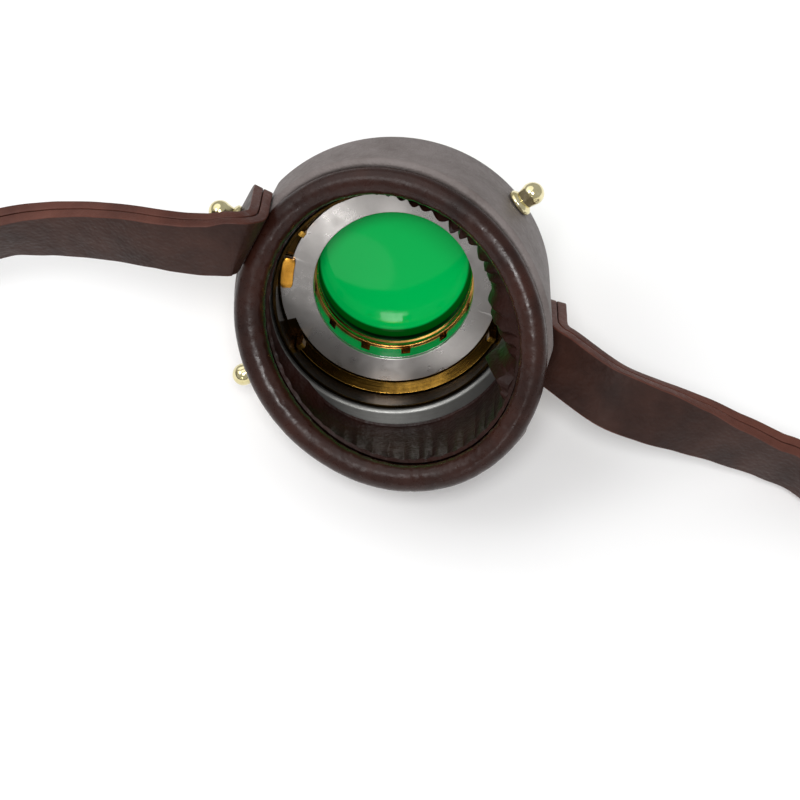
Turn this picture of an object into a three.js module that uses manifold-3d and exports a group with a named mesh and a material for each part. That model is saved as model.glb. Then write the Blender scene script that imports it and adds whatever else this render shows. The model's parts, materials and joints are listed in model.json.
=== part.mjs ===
// A steampunk monocle lying on a table: a leather-covered eye cup with a slanted padded rim, a brass lens
// unit on a two-lug bayonet, and a two-layer leather head strap closed by a buckle.
// Millimetres, +Z up, the table at z = 0. The eye side faces -Y and leans up, the lens nose rests in front.

import * as THREE from 'three';
import { mergeVertices } from 'three/addons/utils/BufferGeometryUtils.js';
import Module from 'manifold-3d';

const wasm = await Module();
wasm.setup();

// Fits
const GAP = 0.3;
const ROUND = 40;
const degrees = THREE.MathUtils.degToRad;

// Eye cup: the optical axis is the cup's own Y axis, with its front at +Y and the bayonet plate at y = 0
const DRUM_RADIUS = 36;
const DRUM_WALL = 2.6;
const DRUM_FRONT = 2.5;
const RIM_DEPTH = 24;
const RIM_SLANT = 14.3;
const RIM_DEEPEST = degrees(-40);
const BEAD_CENTRE = 32.2;
const BEAD_RADIUS = 3.6;
const LINING_PLEATS = 26;
const PLEAT_DEPTH = 0.45;
const LINING_THICKNESS = 1.5;

// Metal housing and throat
const HOUSING_RADIUS = DRUM_RADIUS - DRUM_WALL - GAP;
const HOUSING_BORE = 27.7;
const HOUSING_BACK = -8.5;
const HOUSING_FRONT = DRUM_FRONT - 0.2;
const THROAT_RADIUS = HOUSING_BORE - GAP;
const THROAT_BORE = 26.6;
const FLOOR_THICKNESS = 1.2;
const FLOOR_BACK = HOUSING_FRONT - FLOOR_THICKNESS;
const FLOOR_BORE = 22.6;

// Bayonet: two lugs of the plate run in the gaps between two brass bands
const PLATE_BORE = 18.5;
const PLATE_RADIUS = 24.2;
const PLATE_THICKNESS = 0.8;
const LUG_RADIUS = 26.2;
const LUG_SWEEP = degrees(36);
const LUG_MIDDLE = degrees(2.5);
const LEAF_SWEEP = degrees(17);
const LEAF_THICKNESS = 0.5;
const BAND_BORE = PLATE_RADIUS + GAP;
const BAND_RADIUS = THROAT_BORE - GAP;
const BAND_FRONT = FLOOR_BACK - GAP;
const BAND_INNER_BACK = -0.3;
const BAND_OUTER_BACK = -2.4;
const LOWER_BAND = [212, 336].map(degrees);
const UPPER_BAND = [32, 147].map(degrees);
const EAR_WIDTH = degrees(3);
const EAR_BACK = -4.3;

// Lens unit
const BARREL_BORE = 20.6;
const BARREL_RADIUS = 22.2;
const COLLAR_RADIUS = 24.2;
const COLLAR_LENGTH = 1.8;
const SLEEVE_LENGTH = 4.9;
const NOTCH_COUNT = 12;
const NOTCH_WIDTH = 2.2;
const NOTCH_DEPTH = 3.2;
const NOTCH_TURN = degrees(9.5);
const RING_LENGTH = 5.1;
const RING_BORE = 17.9;
const GROOVE_DEPTH = 0.5;
const LENS_EDGE = 4;
const LENS_BULGE = 0.9;
const NOSE_RADIUS = 24;
const NOSE_LIP = 2;
const NOSE_BORE = 18.2;
const SKIRT_LENGTH = 11;
const FLUTE_COUNT = 24;
const FLUTE_RADIUS = 1;

// Attitude: the drum's front edge and the nose's front edge both touch the table
const TILT = degrees(30);
const NOSE_FRONT = DRUM_FRONT + (DRUM_RADIUS - NOSE_RADIUS) / Math.tan(TILT);
const AXIS_HEIGHT = DRUM_RADIUS * Math.cos(TILT) + DRUM_FRONT * Math.sin(TILT);

// Front flange and its screws
const FLANGE_BORE = COLLAR_RADIUS + 0.4;
const FLANGE_RADIUS = 33;
const FLANGE_THICKNESS = 1.8;
const SCREW_COUNT = 6;
const SCREW_CIRCLE = 30.2;
const SCREW_HEAD = [1.9, 1.1];
const SCREW_SHANK = [0.8, 6];

// Studs: screws through the drum wall into the housing, each capped by a dome nut
const LEFT_STUD = degrees(153.5);
const RIGHT_STUD = degrees(-15.5);
const WALL_STUDS = [degrees(40), degrees(211.5)];
const STUD_Y = -5;
const STUD_SHANK = 1;
const STUD_INNER = 29.3;
const NUT_BASE = [3.2, 0.9];
const NUT_NECK = [2.1, 1.9];
const NUT_BALL = 2.5;
const NUT_HEIGHT = 6.7;
const NUT_BORE_DEPTH = 3.5;

// Strap: two leather layers, folded along a flat of the drum wall at each end
const STRAP_WIDTH = 14.5;
const LAYER = 2.1;
const STRAP_THICKNESS = 2 * LAYER + GAP;
const FLAT_RADIUS = DRUM_RADIUS - 1.4;
const TAB_RADIUS = FLAT_RADIUS + 0.45 + STRAP_THICKNESS / 2;
const LEFT_TAB = { angle: LEFT_STUD, end: -1.4, bend: -13 };
const RIGHT_TAB = { angle: RIGHT_STUD, end: 2.4, bend: -9.2 };
const TAB_CORNER = 2.5;
const BEND_RADIUS = 4.5;
const BEND_TURN = degrees(60);
const STRAP_STEPS = 60;
const CROWDING = 1.3;
const DOUBLE_SHARE = 0.83;

// Closure at the back of the head, beside the table
const BACK_Y = -156;
const BACK_HEIGHT = 9.6;
const BAR_X = 14;
const BAR_RADIUS = 1.1;
const FOLD_RADIUS = 3.3;
const FOLD_BORE = 1.5;
const FOLD_TAIL = 6;
const BUCKLE_TILT = degrees(27);
const BUCKLE_LENGTH = 18;
const BUCKLE_HALF_HEIGHT = 9.3;
const BUCKLE_ARM = 1.7;
const BUCKLE_RAIL = 2.5;
const BUCKLE_THICKNESS = 2.2;
const BUCKLE_EYE = 2.6;
const TONGUE_TILT = degrees(34);
const TONGUE_LENGTH = 19.5;
const TONGUE_THICKNESS = 1.4;
const TONGUE_WIDTH = 2.2;
const TONGUE_EYE = 2.6;
const TIP_Y = BACK_Y - FOLD_RADIUS - 0.35 - LAYER / 2;
const TIP_END_X = 62;
const SLOT_WIDTH = 3.2;
const SLOT_LENGTH = 9.6;
const SLOT_PITCH = 17;
const SLOT_COUNT = 3;
const KEEPER_X = 37.5;
const KEEPER_WIDTH = 7;
const KEEPER_WALL = 1.3;
const KEEPER_ROOM = 0.4;
const RIVET_X = 26;
const RIVET_HEAD = [2.5, 0.8];
const RIVET_SHANK = 1;

// Finishes
const finish = (color, roughness, metalness) => (
  new THREE.MeshStandardMaterial({ color, roughness, metalness })
);
const LEATHER = finish(0x3b2a28, 0.5, 0);
const DRUM_LEATHER = finish(0x6b615e, 0.6, 0);
const LINING = finish(0x2a1a18, 0.45, 0);
const BRASS = finish(0xb08a4a, 0.25, 1);
const POLISHED_BRASS = finish(0xd8cc90, 0.15, 1);
const STEEL = finish(0x8a8480, 0.25, 1);
const ALUMINIUM = finish(0x8c8c8a, 0.4, 1);
const GLASS = finish(0x00a048, 0.05, 0);

// Turns a closed geometry into a solid with merged corners and outward faces
function toSolid(geometry) {
  const bare = geometry.index ? geometry.toNonIndexed() : geometry.clone();
  for (const name of Object.keys(bare.attributes)) {
    if (name !== 'position') bare.deleteAttribute(name);
  }
  const merged = mergeVertices(bare, 1e-4);
  const index = merged.index.array;
  const triangles = [];
  for (let i = 0; i < index.length; i += 3) {
    const [a, b, c] = [index[i], index[i + 1], index[i + 2]];
    if (a !== b && b !== c && c !== a) triangles.push(a, b, c);
  }
  if (signedVolume(merged.attributes.position, triangles) < 0) triangles.reverse();
  return new wasm.Manifold(new wasm.Mesh({
    numProp: 3,
    vertProperties: new Float32Array(merged.attributes.position.array),
    triVerts: new Uint32Array(triangles),
  }));
}

function signedVolume(position, triangles) {
  const [a, b, c] = [new THREE.Vector3(), new THREE.Vector3(), new THREE.Vector3()];
  let volume = 0;
  for (let i = 0; i < triangles.length; i += 3) {
    a.fromBufferAttribute(position, triangles[i]);
    b.fromBufferAttribute(position, triangles[i + 1]);
    c.fromBufferAttribute(position, triangles[i + 2]);
    volume += a.dot(b.cross(c));
  }
  return volume;
}

function toGeometry(solid) {
  const mesh = solid.getMesh();
  const geometry = new THREE.BufferGeometry();
  geometry.setAttribute('position', new THREE.BufferAttribute(new Float32Array(mesh.vertProperties), 3));
  geometry.setIndex(new THREE.BufferAttribute(new Uint32Array(mesh.triVerts), 1));
  return geometry;
}

const cut = (solid, tools) => tools.reduce((rest, tool) => rest.subtract(toSolid(tool)), solid);
const cutGeometry = (geometry, tools) => toGeometry(cut(toSolid(geometry), tools));

// A ring turned about the optical axis from [radius, y] pairs
function turned(profile, segments = ROUND) {
  const points = profile.map(([radius, y]) => new THREE.Vector2(radius, y));
  const onAxis = profile[0][0] === 0;
  if (!onAxis) points.push(points[0].clone());
  return toGeometry(toSolid(new THREE.LatheGeometry(points, segments)));
}

const extruded = (shape, depth, curveSegments) => (
  new THREE.ExtrudeGeometry(shape, { depth, bevelEnabled: false, curveSegments })
);

// A flat outline in the cup's X-Z plane, given thickness from y = front back towards the eye
function slab(shape, front, thickness) {
  const geometry = extruded(shape, thickness, 1);
  geometry.rotateX(Math.PI / 2);
  return toGeometry(toSolid(geometry.translate(0, front, 0)));
}

// Points of an arc round the optical axis, one for about every eight degrees
function arc(radius, from, to) {
  const steps = Math.max(Math.round(Math.abs(to - from) / degrees(8)), 1);
  return Array.from({ length: steps + 1 }, (_, i) => {
    const angle = from + ((to - from) * i) / steps;
    return new THREE.Vector2(radius * Math.cos(angle), radius * Math.sin(angle));
  });
}

// A rod whose ends are at the given distances along a direction through a point
function rod(radius, from, to, direction, through = new THREE.Vector3(), sides = 12) {
  const geometry = new THREE.CylinderGeometry(radius, radius, to - from, sides);
  geometry.translate(0, (from + to) / 2, 0);
  geometry.applyQuaternion(new THREE.Quaternion().setFromUnitVectors(new THREE.Vector3(0, 1, 0), direction));
  return geometry.translate(through.x, through.y, through.z);
}

// A solid skinned over rings of points; a closed path joins the last ring to the first, an open one gets caps
function skinned(rings, closedPath) {
  const sides = rings[0].length;
  const positions = rings.flat().flatMap((point) => point.toArray());
  const triangles = [];
  const spans = closedPath ? rings.length : rings.length - 1;
  for (let i = 0; i < spans; i++) {
    const here = i * sides;
    const next = ((i + 1) % rings.length) * sides;
    for (let j = 0; j < sides; j++) {
      const k = (j + 1) % sides;
      const [a, b, c, d] = [here + j, next + j, next + k, here + k];
      // Opposite faces split along the same diagonal, so that stacked layers stay parallel where they twist
      if (j < sides / 2) triangles.push(a, b, c, a, c, d);
      else triangles.push(a, b, d, b, c, d);
    }
  }
  if (!closedPath) {
    const last = (rings.length - 1) * sides;
    for (let j = 1; j < sides - 1; j++) {
      triangles.push(0, j, j + 1, last, last + j + 1, last + j);
    }
  }
  const geometry = new THREE.BufferGeometry();
  geometry.setAttribute('position', new THREE.Float32BufferAttribute(positions, 3));
  geometry.setIndex(triangles);
  return geometry;
}

const radial = (angle) => new THREE.Vector3(Math.cos(angle), 0, Math.sin(angle));
const onCup = (radius, angle, y) => radial(angle).multiplyScalar(radius).setY(y);
const rimDepth = (angle) => RIM_DEPTH + RIM_SLANT * Math.cos(angle - RIM_DEEPEST);

// Everything on the eye side of the slanted rim plane, moved towards the front by a setback
function beyondRim(setback) {
  const slope = RIM_SLANT / BEAD_CENTRE;
  const towardsEye = radial(RIM_DEEPEST).multiplyScalar(-slope).setY(-1).normalize();
  const size = 200;
  const block = new THREE.BoxGeometry(size, size, size).translate(0, size / 2, 0);
  block.applyQuaternion(new THREE.Quaternion().setFromUnitVectors(new THREE.Vector3(0, 1, 0), towardsEye));
  return block.translate(0, setback - RIM_DEPTH, 0);
}

function beadTorus(extra) {
  const steps = 48;
  const sides = 10;
  const rings = [];
  for (let i = 0; i < steps; i++) {
    const angle = (i / steps) * 2 * Math.PI;
    const ring = [];
    for (let j = 0; j < sides; j++) {
      const turn = (j / sides) * 2 * Math.PI;
      const reach = BEAD_CENTRE + (BEAD_RADIUS + extra) * Math.cos(turn);
      const depth = rimDepth(angle) + (BEAD_RADIUS + extra) * Math.sin(turn);
      ring.push(onCup(reach, angle, -depth));
    }
    rings.push(ring);
  }
  return skinned(rings, true);
}

// The cup's leather pieces
const studAngles = [...WALL_STUDS, RIGHT_STUD, LEFT_STUD];
const studHoles = (radius) => studAngles.map((angle) => (
  rod(radius, STUD_INNER - GAP, DRUM_RADIUS + 2, radial(angle), new THREE.Vector3(0, STUD_Y, 0))
));

// What a flat under a strap tab takes away from the round outside
const tabFlat = (angle) => (
  new THREE.BoxGeometry(20, 120, 40).translate(FLAT_RADIUS + 10, 0, 0).rotateY(-angle)
);

function drumShell() {
  const inner = DRUM_RADIUS - DRUM_WALL;
  const far = -(RIM_DEPTH + RIM_SLANT + 10);
  const tube = turned([[inner, DRUM_FRONT], [DRUM_RADIUS, DRUM_FRONT], [DRUM_RADIUS, far], [inner, far]]);
  const flats = [tabFlat(LEFT_STUD), tabFlat(RIGHT_STUD)];
  return cutGeometry(tube, [beyondRim(2.2), beadTorus(GAP), ...flats, ...studHoles(STUD_SHANK + GAP)]);
}

function rimBead() {
  const back = HOUSING_BACK - GAP;
  const outer = HOUSING_RADIUS + GAP;
  const inner = HOUSING_BORE - 1;
  const seat = turned([[inner, DRUM_FRONT], [outer, DRUM_FRONT], [outer, back], [inner, back]]);
  return cutGeometry(beadTorus(0), [seat, tabFlat(LEFT_STUD)]);
}

function cupLining() {
  const outer = DRUM_RADIUS - DRUM_WALL - GAP;
  const steps = LINING_PLEATS * 4;
  const back = -(RIM_DEPTH + RIM_SLANT + 5);
  const front = HOUSING_BACK - GAP;
  const rings = [];
  for (let i = 0; i < steps; i++) {
    const angle = (i / steps) * 2 * Math.PI;
    const inner = outer - LINING_THICKNESS - PLEAT_DEPTH * Math.cos(LINING_PLEATS * angle);
    rings.push([
      onCup(inner, angle, front),
      onCup(outer, angle, front),
      onCup(outer, angle, back),
      onCup(inner, angle, back),
    ]);
  }
  return cutGeometry(skinned(rings, true), [beyondRim(0), beadTorus(GAP + 0.1)]);
}

// The cup's metal pieces
const screwAngle = (i) => ((i + 0.5) / SCREW_COUNT) * 2 * Math.PI;
const screwHoles = () => Array.from({ length: SCREW_COUNT }, (_, i) => (
  rod(SCREW_SHANK[0] + GAP, -6, 8, new THREE.Vector3(0, 1, 0), onCup(SCREW_CIRCLE, screwAngle(i), 0))
));

function housingRing() {
  const chamfer = 0.6;
  const ring = turned([
    [HOUSING_BORE, HOUSING_FRONT],
    [HOUSING_RADIUS, HOUSING_FRONT],
    [HOUSING_RADIUS, HOUSING_BACK],
    [HOUSING_BORE + chamfer, HOUSING_BACK],
    [HOUSING_BORE, HOUSING_BACK + chamfer],
  ]);
  return cutGeometry(ring, [...studHoles(STUD_SHANK + GAP), ...screwHoles()]);
}

function throatRing() {
  const back = HOUSING_BACK + 0.4;
  return turned([
    [FLOOR_BORE, HOUSING_FRONT],
    [THROAT_RADIUS, HOUSING_FRONT],
    [THROAT_RADIUS, back],
    [THROAT_BORE, back],
    [THROAT_BORE, FLOOR_BACK],
    [FLOOR_BORE, FLOOR_BACK],
  ]);
}

function frontFlange() {
  const back = DRUM_FRONT + 0.1;
  const front = back + FLANGE_THICKNESS;
  const edge = 0.6;
  const ring = turned([
    [FLANGE_BORE, back],
    [FLANGE_RADIUS, back],
    [FLANGE_RADIUS, front - edge],
    [FLANGE_RADIUS - edge, front],
    [FLANGE_BORE, front],
  ]);
  return cutGeometry(ring, screwHoles());
}

function flangeScrew(i) {
  const seat = DRUM_FRONT + 0.1 + FLANGE_THICKNESS + GAP;
  const [headRadius, headHeight] = SCREW_HEAD;
  const [shankRadius, shankLength] = SCREW_SHANK;
  const geometry = turned([
    [0, seat - shankLength],
    [shankRadius, seat - shankLength],
    [shankRadius, seat],
    [headRadius, seat],
    [headRadius, seat + headHeight / 2],
    [headRadius * 0.6, seat + headHeight],
    [0, seat + headHeight],
  ], 12);
  const centre = onCup(SCREW_CIRCLE, screwAngle(i), 0);
  return geometry.translate(centre.x, 0, centre.z);
}

// A brass band round the plate's edge, sloping back to the throat, with an ear standing up at each end
function brassBand([start, end]) {
  const section = (angle, innerBack, outerBack) => [
    onCup(BAND_BORE, angle, BAND_FRONT),
    onCup(BAND_RADIUS, angle, BAND_FRONT),
    onCup(BAND_RADIUS, angle, outerBack),
    onCup(BAND_BORE, angle, innerBack),
  ];
  const ear = (angle) => section(angle, EAR_BACK, EAR_BACK);
  const step = degrees(0.3);
  const from = start + EAR_WIDTH;
  const sweep = end - EAR_WIDTH - from;
  const count = 16;
  const slope = Array.from({ length: count + 1 }, (_, i) => (
    section(from + (i / count) * sweep, BAND_INNER_BACK, BAND_OUTER_BACK)
  ));
  const rings = [ear(start), ear(from - step), ...slope, ear(from + sweep + step), ear(end)];
  return toGeometry(toSolid(skinned(rings, false)));
}

function domeNut() {
  const ball = [];
  const ballCentre = NUT_HEIGHT - NUT_BALL;
  const steps = 7;
  const neckTurn = -Math.acos(NUT_NECK[0] / NUT_BALL);
  for (let i = 0; i <= steps; i++) {
    const turn = neckTurn + (i / steps) * (Math.PI / 2 - neckTurn);
    const radius = i === steps ? 0 : NUT_BALL * Math.cos(turn);
    ball.push([radius, ballCentre + NUT_BALL * Math.sin(turn)]);
  }
  const bore = STUD_SHANK + GAP;
  return turned([
    [0, NUT_BORE_DEPTH],
    [bore, NUT_BORE_DEPTH],
    [bore, 0],
    [NUT_BASE[0], 0],
    NUT_BASE,
    NUT_NECK,
    ...ball,
  ], 16);
}

// The lens unit, from the plate forward
function bayonetPlate() {
  const outline = [LUG_MIDDLE, LUG_MIDDLE + Math.PI].flatMap((middle) => [
    ...arc(LUG_RADIUS, middle - LUG_SWEEP / 2, middle + LUG_SWEEP / 2),
    ...arc(PLATE_RADIUS, middle + LUG_SWEEP / 2, middle + Math.PI - LUG_SWEEP / 2),
  ]);
  const shape = new THREE.Shape(outline);
  shape.holes.push(new THREE.Path(arc(PLATE_BORE, 2 * Math.PI, 0).slice(1)));
  return slab(shape, PLATE_THICKNESS, PLATE_THICKNESS);
}

function lugLeaf(middle) {
  const start = middle - LUG_SWEEP / 2;
  const inner = PLATE_RADIUS - 1;
  const outline = [...arc(LUG_RADIUS, start, start + LEAF_SWEEP), ...arc(inner, start + LEAF_SWEEP, start)];
  return slab(new THREE.Shape(outline), -GAP, LEAF_THICKNESS);
}

const SLEEVE_BACK = PLATE_THICKNESS + GAP;
const RING_BACK = SLEEVE_BACK + SLEEVE_LENGTH + GAP;
const LENS_BACK = RING_BACK + RING_LENGTH + GAP;
const LENS_FRONT = LENS_BACK + LENS_EDGE;

function lensBarrel() {
  const collarBack = HOUSING_FRONT + GAP;
  const front = NOSE_FRONT - NOSE_LIP - GAP;
  return turned([
    [BARREL_BORE, SLEEVE_BACK],
    [BARREL_RADIUS, SLEEVE_BACK],
    [BARREL_RADIUS, collarBack],
    [COLLAR_RADIUS, collarBack],
    [COLLAR_RADIUS, collarBack + COLLAR_LENGTH],
    [BARREL_RADIUS, collarBack + COLLAR_LENGTH],
    [BARREL_RADIUS, front],
    [BARREL_BORE, front],
  ]);
}

// A polished sleeve with spanner notches round its front end
function spacerSleeve() {
  const outer = BARREL_BORE - GAP;
  const front = SLEEVE_BACK + SLEEVE_LENGTH;
  const tube = turned([[PLATE_BORE, SLEEVE_BACK], [outer, SLEEVE_BACK], [outer, front], [PLATE_BORE, front]]);
  const notches = Array.from({ length: NOTCH_COUNT }, (_, i) => {
    const angle = NOTCH_TURN + (i / NOTCH_COUNT) * 2 * Math.PI;
    const box = new THREE.BoxGeometry(6, 2 * NOTCH_DEPTH, NOTCH_WIDTH);
    box.translate(PLATE_BORE + 1, front, 0);
    return box.rotateY(-angle);
  });
  return cutGeometry(tube, notches);
}

function retainingRing() {
  const outer = BARREL_BORE - GAP;
  const front = RING_BACK + RING_LENGTH;
  const step = RING_LENGTH / 6;
  const grooved = RING_BORE + GROOVE_DEPTH;
  return turned([
    [outer, RING_BACK],
    [outer, front],
    [RING_BORE, front],
    [RING_BORE, front - step],
    [grooved, front - 1.5 * step],
    [grooved, front - 2.5 * step],
    [RING_BORE, front - 3 * step],
    [RING_BORE, RING_BACK + step / 2],
    [RING_BORE + GROOVE_DEPTH / 2, RING_BACK],
  ]);
}

function lens() {
  const edge = BARREL_BORE - 0.4;
  const rise = (radius) => LENS_BULGE * (1 - (radius / edge) ** 2);
  const radii = [0, 0.25, 0.5, 0.75, 0.9, 1].map((share) => share * edge);
  const back = radii.map((radius) => [radius, LENS_BACK + LENS_BULGE - rise(radius)]);
  const front = radii.map((radius) => [radius, LENS_FRONT + rise(radius)]).reverse();
  return turned([...back, ...front]);
}

function frontBezel() {
  const seat = NOSE_FRONT - NOSE_LIP;
  const press = LENS_FRONT + LENS_BULGE + GAP;
  const skirtBore = BARREL_RADIUS + GAP;
  const skirtBack = NOSE_FRONT - SKIRT_LENGTH;
  const chamfer = 1;
  const ring = turned([
    [NOSE_BORE, press],
    [BARREL_BORE - GAP, press],
    [BARREL_BORE - GAP, seat],
    [skirtBore, seat],
    [skirtBore, skirtBack],
    [NOSE_RADIUS, skirtBack],
    [NOSE_RADIUS, NOSE_FRONT],
    [NOSE_BORE + chamfer, NOSE_FRONT],
    [NOSE_BORE, NOSE_FRONT - chamfer],
  ]);
  const flutes = Array.from({ length: FLUTE_COUNT }, (_, i) => {
    const centre = onCup(NOSE_RADIUS + 0.4, (i / FLUTE_COUNT) * 2 * Math.PI, 0);
    return rod(FLUTE_RADIUS, skirtBack - 1, seat, new THREE.Vector3(0, 1, 0), centre, 6);
  });
  return cutGeometry(ring, flutes);
}

// Straps, in table coordinates with the cup's centre over the origin
const cupToTable = new THREE.Matrix4().makeRotationX(-TILT).setPosition(0, 0, AXIS_HEIGHT);
const leaning = (angle) => new THREE.Vector3(0, Math.sin(angle), Math.cos(angle));

// Each free station: x, y, z of the strap's middle and how far its width leans back from upright, in degrees
const LEFT_ROUTE = [
  [-43, -9.8, 58.5, 20],
  [-53.6, -7.6, 57.2, 19],
  [-63.2, -4, 54.5, 15],
  [-72.5, -1.5, 52, 9],
  [-79.6, -0.8, 50.5, 6],
  [-88.7, -1.3, 49, 3],
  [-105, -4.5, 43, 0],
  [-121, -20, 31, 0],
  [-127, -52, 19.5, 0],
  [-119, -92, 10.5, 0],
  [-99, -128, 7.8, 0],
  [-64, -154, 8.6, 0],
  [-36, BACK_Y - 5.9, BACK_HEIGHT, 0],
  [0, BACK_Y - 5.9, BACK_HEIGHT, 0],
  [32, BACK_Y - 5.9, BACK_HEIGHT, 0],
  [TIP_END_X, BACK_Y - 5.9, BACK_HEIGHT, 0],
];
const RIGHT_ROUTE = [
  [50, -25.6, 28.3, 34],
  [59.1, -27.3, 24.8, 25],
  [68.6, -28, 20.9, 14],
  [77.9, -29.3, 17.2, 4],
  [87.4, -31.1, 13.7, -2],
  [94.5, -33.1, 11.4, 0],
  [108, -46, 9, 0],
  [121, -66, 7.6, 0],
  [126, -95, 7.4, 0],
  [117, -125, 7.6, 0],
  [97, -147, 8.6, 0],
  [70, BACK_Y, BACK_HEIGHT, 0],
  [45, BACK_Y, BACK_HEIGHT, 0],
  [BAR_X + FOLD_TAIL + GAP, BACK_Y, BACK_HEIGHT, 0],
];

// Stations along the drum wall and into the outward bend, then the free route
function strapStations({ angle, end, bend }, route) {
  const width = new THREE.Vector3(-Math.sin(angle), 0, Math.cos(angle));
  if (width.z < 0) width.negate();
  const up = width.transformDirection(cupToTable);
  const bendReach = TAB_RADIUS + BEND_RADIUS * (1 - Math.cos(BEND_TURN));
  const tab = [
    [TAB_RADIUS, end],
    [TAB_RADIUS, STUD_Y],
    [TAB_RADIUS, bend],
    [bendReach, bend - BEND_RADIUS * Math.sin(BEND_TURN)],
  ];
  const fixed = tab.map(([radius, y]) => ({ at: onCup(radius, angle, y).applyMatrix4(cupToTable), up }));
  const free = route.map(([x, y, z, lean]) => (
    { at: new THREE.Vector3(x, y, z), up: leaning(degrees(lean)) }
  ));
  return [...fixed, ...free];
}

// One leather layer, offset outwards from the strap's middle, with round corners on the drum
function strapLayer(stations, outwardSign, offset, share) {
  const curve = new THREE.CatmullRomCurve3(stations.map((station) => station.at));
  const rings = [];
  for (let i = 0; i <= STRAP_STEPS * share; i++) {
    const t = (i / STRAP_STEPS) ** CROWDING;
    const place = t * (stations.length - 1);
    const before = Math.min(Math.floor(place), stations.length - 2);
    const at = curve.getPoint(t);
    const along = curve.getTangent(t);
    const up = stations[before].up.clone().lerp(stations[before + 1].up, place - before);
    const across = up.addScaledVector(along, -up.dot(along)).normalize();
    const outward = along.clone().cross(across).multiplyScalar(outwardSign);
    const fromEnd = Math.min(at.distanceTo(stations[0].at) / TAB_CORNER, 1);
    const half = STRAP_WIDTH / 2 - TAB_CORNER * (1 - Math.sqrt(1 - (1 - fromEnd) ** 2));
    const corner = (side, lift) => at.clone()
      .addScaledVector(outward, offset + (lift * LAYER) / 2)
      .addScaledVector(across, side * half);
    rings.push([corner(-1, -1), corner(1, -1), corner(1, 1), corner(-1, 1)]);
  }
  return skinned(rings, false);
}

const tabHole = (angle) => (
  rod(STUD_SHANK + GAP, DRUM_RADIUS - 1, DRUM_RADIUS + 12, radial(angle), new THREE.Vector3(0, STUD_Y, 0))
    .applyMatrix4(cupToTable)
);
const rivetHole = () => (
  rod(RIVET_SHANK + GAP, BACK_Y - 3, BACK_Y + 4, new THREE.Vector3(0, 1, 0),
    new THREE.Vector3(RIVET_X, 0, BACK_HEIGHT))
);

// Adjusting slots in the single-layer tip; the tongue stands in the first
function tipSlots() {
  const first = BAR_X - 1.4 - SLOT_LENGTH / 2;
  return Array.from({ length: SLOT_COUNT }, (_, i) => (
    new THREE.BoxGeometry(SLOT_LENGTH, 3, SLOT_WIDTH).translate(first + i * SLOT_PITCH, TIP_Y, BACK_HEIGHT)
  ));
}

// Closure hardware, in table coordinates
const barPoint = new THREE.Vector3(BAR_X, BACK_Y, BACK_HEIGHT);
const upright = new THREE.Vector3(0, 0, 1);
const barHole = (radius) => rod(radius, -20, 20, upright, barPoint);

function strapFold() {
  const shape = new THREE.Shape();
  const half = STRAP_THICKNESS / 2;
  const meet = Math.asin(half / FOLD_RADIUS);
  shape.moveTo(FOLD_TAIL, -half);
  shape.lineTo(FOLD_TAIL, half);
  shape.absarc(0, 0, FOLD_RADIUS, meet, 2 * Math.PI - meet, false);
  const geometry = extruded(shape, STRAP_WIDTH, 10);
  geometry.translate(BAR_X, BACK_Y, BACK_HEIGHT - STRAP_WIDTH / 2);
  const reach = TONGUE_EYE + FOLD_RADIUS + 2 * GAP;
  const notch = new THREE.BoxGeometry(reach, 3 * FOLD_RADIUS, TONGUE_WIDTH + 4 * GAP);
  notch.translate(BAR_X + TONGUE_EYE + GAP - reach / 2, BACK_Y, BACK_HEIGHT);
  return cutGeometry(geometry, [barHole(FOLD_BORE), notch]);
}

// A U-shaped brass frame, hung by its two arms on the bar
function buckleFrame() {
  const inner = BUCKLE_HALF_HEIGHT - BUCKLE_ARM;
  const corner = 2.5;
  const shape = new THREE.Shape();
  shape.moveTo(0, BUCKLE_HALF_HEIGHT);
  shape.lineTo(0, inner);
  shape.lineTo(BUCKLE_LENGTH - BUCKLE_RAIL, inner);
  shape.lineTo(BUCKLE_LENGTH - BUCKLE_RAIL, -inner);
  shape.lineTo(0, -inner);
  shape.lineTo(0, -BUCKLE_HALF_HEIGHT);
  shape.lineTo(BUCKLE_LENGTH - corner, -BUCKLE_HALF_HEIGHT);
  shape.absarc(BUCKLE_LENGTH - corner, corner - BUCKLE_HALF_HEIGHT, corner, -Math.PI / 2, 0, false);
  shape.absarc(BUCKLE_LENGTH - corner, BUCKLE_HALF_HEIGHT - corner, corner, 0, Math.PI / 2, false);
  const geometry = extruded(shape, BUCKLE_THICKNESS, 4);
  geometry.translate(0, 0, -BUCKLE_THICKNESS / 2);
  geometry.rotateX(Math.PI / 2);
  geometry.rotateZ(Math.PI + BUCKLE_TILT);
  geometry.translate(...barPoint);
  const eyes = [[-BUCKLE_HALF_HEIGHT, -inner], [inner, BUCKLE_HALF_HEIGHT]];
  const frame = eyes.reduce((rest, [low, high]) => (
    rest.add(toSolid(rod(BUCKLE_EYE, low, high, upright, barPoint, 16)))
  ), toSolid(geometry));
  return toGeometry(cut(frame, [barHole(BAR_RADIUS + GAP)]));
}

// A brass finger with an eye round the bar, resting on the frame's far rail
function buckleTongue() {
  const shape = new THREE.Shape();
  const half = TONGUE_THICKNESS / 2;
  const meet = Math.asin(half / TONGUE_EYE);
  shape.moveTo(TONGUE_LENGTH, -half * 0.6);
  shape.lineTo(TONGUE_LENGTH, half * 0.6);
  shape.lineTo(TONGUE_LENGTH - 3, half);
  shape.absarc(0, 0, TONGUE_EYE, meet, 2 * Math.PI - meet, false);
  shape.lineTo(TONGUE_LENGTH - 3, -half);
  const geometry = extruded(shape, TONGUE_WIDTH, 10);
  geometry.translate(0, 0, -TONGUE_WIDTH / 2);
  geometry.rotateZ(Math.PI + TONGUE_TILT);
  geometry.translate(...barPoint);
  return cutGeometry(geometry, [barHole(BAR_RADIUS + GAP)]);
}

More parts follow.
